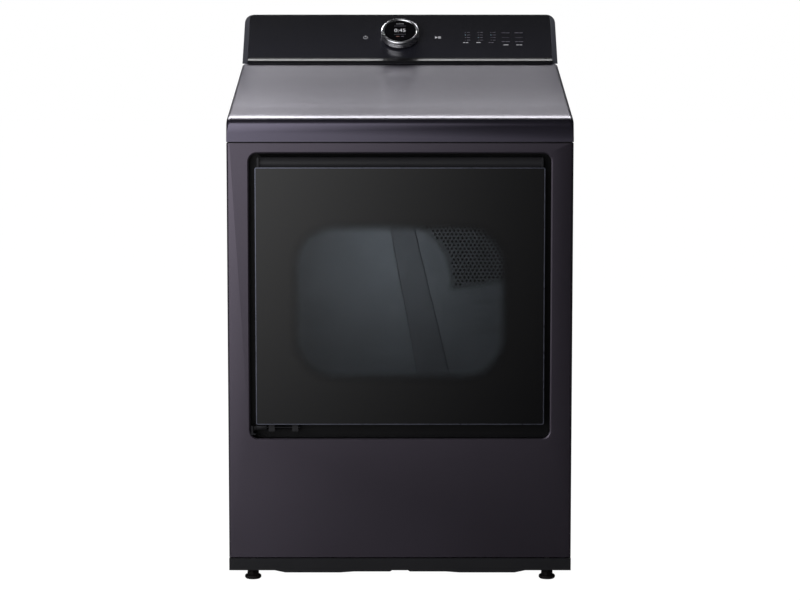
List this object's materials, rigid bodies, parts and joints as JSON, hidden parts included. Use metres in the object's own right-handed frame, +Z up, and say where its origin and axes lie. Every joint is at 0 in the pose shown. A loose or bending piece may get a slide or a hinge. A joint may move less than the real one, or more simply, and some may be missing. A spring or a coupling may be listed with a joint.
{
  "type": "clothes dryer",
  "caption": "Front-loading tumble dryer with a smoked glass door that swings sideways or tips down, a sloped top, a rear console with a dial, a belt-driven drum and levelling legs.",
  "frame": {"origin": "on the floor, in the middle of the footprint", "axes": "+Z up, front facing -Y, +X to the right seen from the front"},
  "size_m": [0.686, 0.75, 1.13],
  "materials": {
    "graphite_paint": "metallic graphite paint, satin",
    "deck_paint": "lighter metallic graphite paint, satin",
    "console_black": "dark grey moulded plastic, half gloss",
    "black_plastic": "black moulded plastic",
    "smoked_glass": "smoked tempered glass, polished",
    "clear_glass": "clear moulded glass",
    "brushed_ring": "silver, finely ribbed edge",
    "galvanised": "zinc coated sheet",
    "drum_steel": "stainless, satin",
    "grey_plastic": "grey moulded plastic",
    "felt": "pressed felt",
    "rubber": "black rubber",
    "bare_steel": "plated steel",
    "board_green": "circuit board",
    "element_alloy": "heat darkened alloy",
    "filter_mesh": "fine woven screen"
  },
  "bodies": {
    "cabinet": {"base_pan": "galvanised", "side_panel_left": "graphite_paint", "side_panel_right": "graphite_paint", "rear_panel": "galvanised", "rear_lower_panel": "galvanised", "rear_access_cover": "galvanised", "terminal_cover": "galvanised", "front_panel": "graphite_paint", "door_recess_liner": "black_plastic", "latch_receiver": "black_plastic", "door_hinge_bracket": "bare_steel", "deck_seal": "rubber", "top_deck": "deck_paint", "console_fascia": "console_black", "console_end_cap_left": "console_black", "console_end_cap_right": "console_black", "console_rear_cover": "grey_plastic", "control_board": "board_green", "dial_base": "black_plastic", "dial_display": "smoked_glass", "front_bulkhead": "galvanised", "rear_bulkhead": "galvanised", "inlet_grille": "drum_steel", "drum_seal_front": "felt", "drum_seal_rear": "felt", "drive_belt": "rubber", "motor_housing": "galvanised", "motor_bracket": "galvanised", "idler_spring": "bare_steel", "blower_housing": "grey_plastic", "lint_duct": "grey_plastic", "exhaust_duct": "galvanised", "heater_duct": "galvanised", "heating_element": "element_alloy"},
    "hinge_knuckle": {"hinge_knuckle": "bare_steel"},
    "door": {"door_glass": "smoked_glass", "door_frame": "black_plastic", "door_inner_liner": "grey_plastic", "door_window": "clear_glass", "door_gasket": "rubber", "door_strike": "bare_steel"},
    "dial_ring": {"dial_ring": "brushed_ring"},
    "drum": {"drum": "drum_steel", "drum_baffle_1": "grey_plastic", "drum_baffle_2": "grey_plastic", "drum_baffle_3": "grey_plastic"},
    "motor_rotor": {"motor_shaft": "bare_steel", "blower_wheel": "grey_plastic"},
    "idler_arm": {"idler_arm": "galvanised"},
    "idler_pulley": {"idler_pulley": "grey_plastic"},
    "lint_filter": {"lint_filter_frame": "grey_plastic", "lint_filter_screen": "filter_mesh"},
    "drum_roller_front_left": {"drum_roller_front_left": "rubber"},
    "leveling_leg_front_left": {"leveling_leg_front_left": "rubber"},
    "drum_roller_front_right": {"drum_roller_front_right": "rubber"},
    "leveling_leg_front_right": {"leveling_leg_front_right": "rubber"},
    "drum_roller_rear_left": {"drum_roller_rear_left": "rubber"},
    "leveling_leg_rear_left": {"leveling_leg_rear_left": "rubber"},
    "drum_roller_rear_right": {"drum_roller_rear_right": "rubber"},
    "leveling_leg_rear_right": {"leveling_leg_rear_right": "rubber"}
  },
  "joints": [
    {"name": "door_swing", "type": "hinge", "parent": "cabinet", "child": "hinge_knuckle", "pos_m": [-0.2945, -0.371, 0.3118], "axis": [0, 0, 1], "range_deg": [-110, 0]},
    {"name": "door_tilt", "type": "hinge", "parent": "hinge_knuckle", "child": "door", "pos_m": [0, -0.361, 0.3118], "axis": [1, 0, 0], "range_deg": [0, 90]},
    {"name": "dial_turn", "type": "hinge", "parent": "cabinet", "child": "dial_ring", "pos_m": [0, 0.23925, 1.08048], "axis": [0, -0.6468, 0.7627], "continuous": true},
    {"name": "drum_spin", "type": "hinge", "parent": "cabinet", "child": "drum", "pos_m": [0, -0.275, 0.5], "axis": [0, 1, 0], "continuous": true},
    {"name": "motor_spin", "type": "hinge", "parent": "cabinet", "child": "motor_rotor", "pos_m": [0.2, -0.15, 0.125], "axis": [0, 1, 0], "continuous": true},
    {"name": "idler_swing", "type": "hinge", "parent": "cabinet", "child": "idler_arm", "pos_m": [0.155, 0.034, 0.055], "axis": [0, -1, 0], "range_deg": [0, 8], "stiffness_Nm_per_rad": 2, "springref_deg": -17.19},
    {"name": "idler_spin", "type": "hinge", "parent": "idler_arm", "child": "idler_pulley", "pos_m": [0.135, 0.025, 0.117], "axis": [0, 1, 0], "continuous": true},
    {"name": "filter_slide", "type": "slide", "parent": "cabinet", "child": "lint_filter", "axis": [0, 0, 1], "range_m": [0, 0.2]},
    {"name": "roller_spin_front_left", "type": "hinge", "parent": "cabinet", "child": "drum_roller_front_left", "pos_m": [-0.23327, -0.271, 0.222], "axis": [0, 1, 0], "continuous": true},
    {"name": "roller_spin_front_right", "type": "hinge", "parent": "cabinet", "child": "drum_roller_front_right", "pos_m": [0.23327, -0.271, 0.222], "axis": [0, 1, 0], "continuous": true},
    {"name": "roller_spin_rear_left", "type": "hinge", "parent": "cabinet", "child": "drum_roller_rear_left", "pos_m": [-0.23327, 0.199, 0.222], "axis": [0, 1, 0], "continuous": true},
    {"name": "roller_spin_rear_right", "type": "hinge", "parent": "cabinet", "child": "drum_roller_rear_right", "pos_m": [0.23327, 0.199, 0.222], "axis": [0, 1, 0], "continuous": true},
    {"name": "leg_turn_front_left", "type": "hinge", "parent": "cabinet", "child": "leveling_leg_front_left", "pos_m": [-0.297, -0.339, 0], "axis": [0, 0, 1], "continuous": true},
    {"name": "leg_turn_front_right", "type": "hinge", "parent": "cabinet", "child": "leveling_leg_front_right", "pos_m": [0.297, -0.339, 0], "axis": [0, 0, 1], "continuous": true},
    {"name": "leg_turn_rear_left", "type": "hinge", "parent": "cabinet", "child": "leveling_leg_rear_left", "pos_m": [-0.297, 0.314, 0], "axis": [0, 0, 1], "continuous": true},
    {"name": "leg_turn_rear_right", "type": "hinge", "parent": "cabinet", "child": "leveling_leg_rear_right", "pos_m": [0.297, 0.314, 0], "axis": [0, 0, 1], "continuous": true}
  ],
  "couplings": [
    {"joint": "motor_spin", "follows": "drum_spin", "ratio": 23.93},
    {"joint": "idler_spin", "follows": "drum_spin", "ratio": -13.812},
    {"joint": "roller_spin_front_left", "follows": "drum_spin", "ratio": -8.6667},
    {"joint": "roller_spin_front_right", "follows": "drum_spin", "ratio": -8.6667},
    {"joint": "roller_spin_rear_left", "follows": "drum_spin", "ratio": -8.6667},
    {"joint": "roller_spin_rear_right", "follows": "drum_spin", "ratio": -8.6667}
  ]
}
